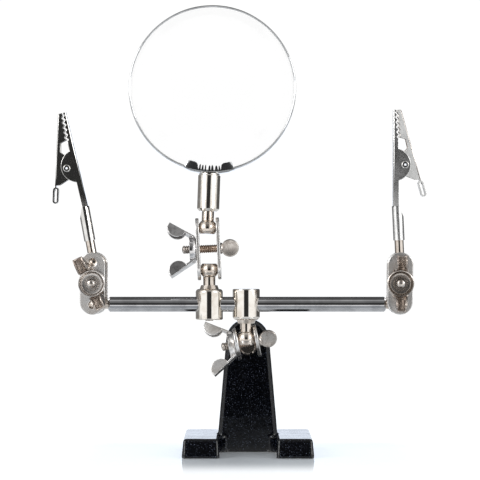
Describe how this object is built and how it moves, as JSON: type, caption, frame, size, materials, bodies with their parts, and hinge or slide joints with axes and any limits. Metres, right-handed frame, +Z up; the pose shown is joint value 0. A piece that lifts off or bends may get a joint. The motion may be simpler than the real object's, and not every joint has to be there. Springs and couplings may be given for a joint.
{
  "type": "helping hands clamp",
  "caption": "Bench-top helping hands: cast stand, ball-jointed links with wing nuts, a cross bar with alligator clips at its ends, and a swivelling magnifier.",
  "frame": {"origin": "centre of the rectangle that the stand's feet cover, on the ground", "axes": "+X along the cross bar to the right, +Y from the front to the back, +Z up"},
  "size_m": [0.1435, 0.0636, 0.174],
  "materials": {
    "black_casting": "textured gloss black",
    "nickel": "polished nickel plate",
    "satin_nickel": "tumbled nickel plate",
    "dull_nickel": "stamped and plated",
    "chrome": "polished",
    "lens": "polished, clear",
    "bright_nickel": "bright plated sheet",
    "spring_steel": "bright wire"
  },
  "bodies": {
    "base": {"base_casting": "black_casting"},
    "base_stud": {"base_ball_stud": "nickel"},
    "base_link": {"base_link_left_plate": "satin_nickel", "base_link_right_plate": "satin_nickel"},
    "base_thumb_screw": {"base_link_thumb_screw": "dull_nickel"},
    "base_wing_nut": {"base_link_wing_nut": "dull_nickel"},
    "base_collar_stud": {"base_collar_ball_stud": "nickel"},
    "base_collar": {"base_collar": "nickel", "base_collar_set_screw": "dull_nickel"},
    "cross_bar": {"cross_bar": "chrome"},
    "lens_collar": {"lens_collar": "nickel", "lens_collar_set_screw": "dull_nickel"},
    "lens_collar_stud": {"lens_collar_ball_stud": "nickel"},
    "lens_link": {"lens_link_left_plate": "satin_nickel", "lens_link_right_plate": "satin_nickel"},
    "lens_thumb_screw": {"lens_link_thumb_screw": "dull_nickel"},
    "lens_wing_nut": {"lens_link_wing_nut": "dull_nickel"},
    "lens_stud": {"lens_ball_stud": "nickel"},
    "magnifier": {"lens_ferrule": "nickel", "lens_saddle": "chrome", "lens_band": "chrome", "lens_glass": "lens"},
    "left_bar_stud": {"left_bar_ball_stud": "nickel"},
    "left_link": {"left_link_front_plate": "satin_nickel", "left_link_rear_plate": "satin_nickel"},
    "left_thumb_screw": {"left_link_thumb_screw": "dull_nickel"},
    "left_wing_nut": {"left_link_wing_nut": "dull_nickel"},
    "left_clip_stud": {"left_clip_ball_stud": "nickel"},
    "left_clip": {"left_clip_fixed_jaw": "bright_nickel", "left_clip_rivet": "bright_nickel", "left_clip_spring": "spring_steel"},
    "left_moving_jaw": {"left_clip_moving_jaw": "bright_nickel"},
    "right_bar_stud": {"right_bar_ball_stud": "nickel"},
    "right_link": {"right_link_front_plate": "satin_nickel", "right_link_rear_plate": "satin_nickel"},
    "right_thumb_screw": {"right_link_thumb_screw": "dull_nickel"},
    "right_wing_nut": {"right_link_wing_nut": "dull_nickel"},
    "right_clip_stud": {"right_clip_ball_stud": "nickel"},
    "right_clip": {"right_clip_fixed_jaw": "bright_nickel", "right_clip_rivet": "bright_nickel", "right_clip_spring": "spring_steel"},
    "right_moving_jaw": {"right_clip_moving_jaw": "bright_nickel"}
  },
  "joints": [
    {"name": "base_stud_roll", "type": "hinge", "parent": "base", "child": "base_stud", "pos_m": [0, 0.0013, 0.0419], "axis": [0, -1, 0], "range_deg": [-35, 35]},
    {"name": "base_link_tilt", "type": "hinge", "parent": "base_stud", "child": "base_link", "pos_m": [0, -0.004, 0.0419], "axis": [0.9833, 0, 0.1822], "range_deg": [-45, 40]},
    {"name": "base_collar_stud_tilt", "type": "hinge", "parent": "base_link", "child": "base_collar_stud", "pos_m": [-0.00066, -0.01969, 0.04546], "axis": [-0.9833, 0, -0.1822], "range_deg": [-60, 14]},
    {"name": "base_collar_swivel", "type": "hinge", "parent": "base_collar_stud", "child": "base_collar", "pos_m": [-0.00066, -0.01969, 0.05871], "axis": [0, 0, 1], "continuous": true},
    {"name": "bar_slide", "type": "slide", "parent": "base_collar", "child": "cross_bar", "axis": [-1, 0, 0], "range_m": [-0.0032, 0.04]},
    {"name": "lens_collar_slide", "type": "slide", "parent": "cross_bar", "child": "lens_collar", "axis": [1, 0, 0], "range_m": [-0.015, 0.0032]},
    {"name": "lens_collar_stud_swivel", "type": "hinge", "parent": "lens_collar", "child": "lens_collar_stud", "pos_m": [-0.01486, -0.01969, 0.05871], "axis": [0, 0, 1], "continuous": true},
    {"name": "lens_link_tilt", "type": "hinge", "parent": "lens_collar_stud", "child": "lens_link", "pos_m": [-0.01486, -0.01969, 0.07196], "axis": [0.999, 0, 0.0436], "range_deg": [-60, 90]},
    {"name": "lens_stud_tilt", "type": "hinge", "parent": "lens_link", "child": "lens_stud", "pos_m": [-0.01556, -0.01969, 0.08805], "axis": [-0.999, 0, -0.0436], "range_deg": [-60, 100]},
    {"name": "magnifier_spin", "type": "hinge", "parent": "lens_stud", "child": "magnifier", "pos_m": [-0.01556, -0.01969, 0.08805], "axis": [0.0348, 0.061, 0.9975], "continuous": true},
    {"name": "left_bar_stud_spin", "type": "hinge", "parent": "cross_bar", "child": "left_bar_stud", "pos_m": [-0.05921, -0.01969, 0.05871], "axis": [1, 0, 0], "continuous": true},
    {"name": "left_link_tilt", "type": "hinge", "parent": "left_bar_stud", "child": "left_link", "pos_m": [-0.05921, -0.01969, 0.05871], "axis": [-0.0785, -0.9969, 0], "range_deg": [-16, 120]},
    {"name": "left_clip_stud_tilt", "type": "hinge", "parent": "left_link", "child": "left_clip_stud", "pos_m": [-0.05921, -0.01969, 0.07481], "axis": [0.0785, 0.9969, 0], "range_deg": [-100, 15]},
    {"name": "left_clip_spin", "type": "hinge", "parent": "left_clip_stud", "child": "left_clip", "pos_m": [-0.05921, -0.01969, 0.07481], "axis": [-0.1822, 0, 0.9833], "continuous": true},
    {"name": "left_clip_jaw", "type": "hinge", "parent": "left_clip", "child": "left_moving_jaw", "pos_m": [-0.0695, -0.01969, 0.11088], "axis": [0, -1, 0], "range_deg": [0, 20], "stiffness_Nm_per_rad": 0.02, "springref_deg": -68.75, "deforming": ["left_clip_spring"]},
    {"name": "right_bar_stud_spin", "type": "hinge", "parent": "cross_bar", "child": "right_bar_stud", "pos_m": [0.05819, -0.01969, 0.05871], "axis": [1, 0, 0], "continuous": true},
    {"name": "right_link_tilt", "type": "hinge", "parent": "right_bar_stud", "child": "right_link", "pos_m": [0.05819, -0.01969, 0.05871], "axis": [0, 1, 0], "range_deg": [-45, 120]},
    {"name": "right_clip_stud_tilt", "type": "hinge", "parent": "right_link", "child": "right_clip_stud", "pos_m": [0.05844, -0.01969, 0.07481], "axis": [0, -1, 0], "range_deg": [-100, 15]},
    {"name": "right_clip_spin", "type": "hinge", "parent": "right_clip_stud", "child": "right_clip", "pos_m": [0.05844, -0.01969, 0.07481], "axis": [-0.0454, 0, 0.999], "continuous": true},
    {"name": "right_clip_jaw", "type": "hinge", "parent": "right_clip", "child": "right_moving_jaw", "pos_m": [0.06029, -0.01969, 0.11228], "axis": [0, 1, 0], "range_deg": [0, 20], "stiffness_Nm_per_rad": 0.02, "springref_deg": -68.75, "deforming": ["right_clip_spring"]},
    {"name": "base_screw_turn", "type": "hinge", "parent": "base_link", "child": "base_thumb_screw", "pos_m": [-0.00033, -0.01184, 0.04368], "axis": [0.9833, 0, 0.1822], "continuous": true},
    {"name": "base_nut_turn", "type": "hinge", "parent": "base_link", "child": "base_wing_nut", "pos_m": [-0.00033, -0.01184, 0.04368], "axis": [-0.9833, 0, -0.1822], "continuous": true},
    {"name": "lens_screw_turn", "type": "hinge", "parent": "lens_link", "child": "lens_thumb_screw", "pos_m": [-0.01521, -0.01969, 0.08], "axis": [0.999, 0, 0.0436], "continuous": true},
    {"name": "lens_nut_turn", "type": "hinge", "parent": "lens_link", "child": "lens_wing_nut", "pos_m": [-0.01521, -0.01969, 0.08], "axis": [-0.999, 0, -0.0436], "continuous": true},
    {"name": "left_screw_turn", "type": "hinge", "parent": "left_link", "child": "left_thumb_screw", "pos_m": [-0.05921, -0.01969, 0.06676], "axis": [0.0785, 0.9969, 0], "continuous": true},
    {"name": "left_nut_turn", "type": "hinge", "parent": "left_link", "child": "left_wing_nut", "pos_m": [-0.05921, -0.01969, 0.06676], "axis": [-0.0785, -0.9969, 0], "continuous": true},
    {"name": "right_screw_turn", "type": "hinge", "parent": "right_link", "child": "right_thumb_screw", "pos_m": [0.05832, -0.01969, 0.06676], "axis": [0, 1, 0], "continuous": true},
    {"name": "right_nut_turn", "type": "hinge", "parent": "right_link", "child": "right_wing_nut", "pos_m": [0.05832, -0.01969, 0.06676], "axis": [0, -1, 0], "continuous": true}
  ]
}
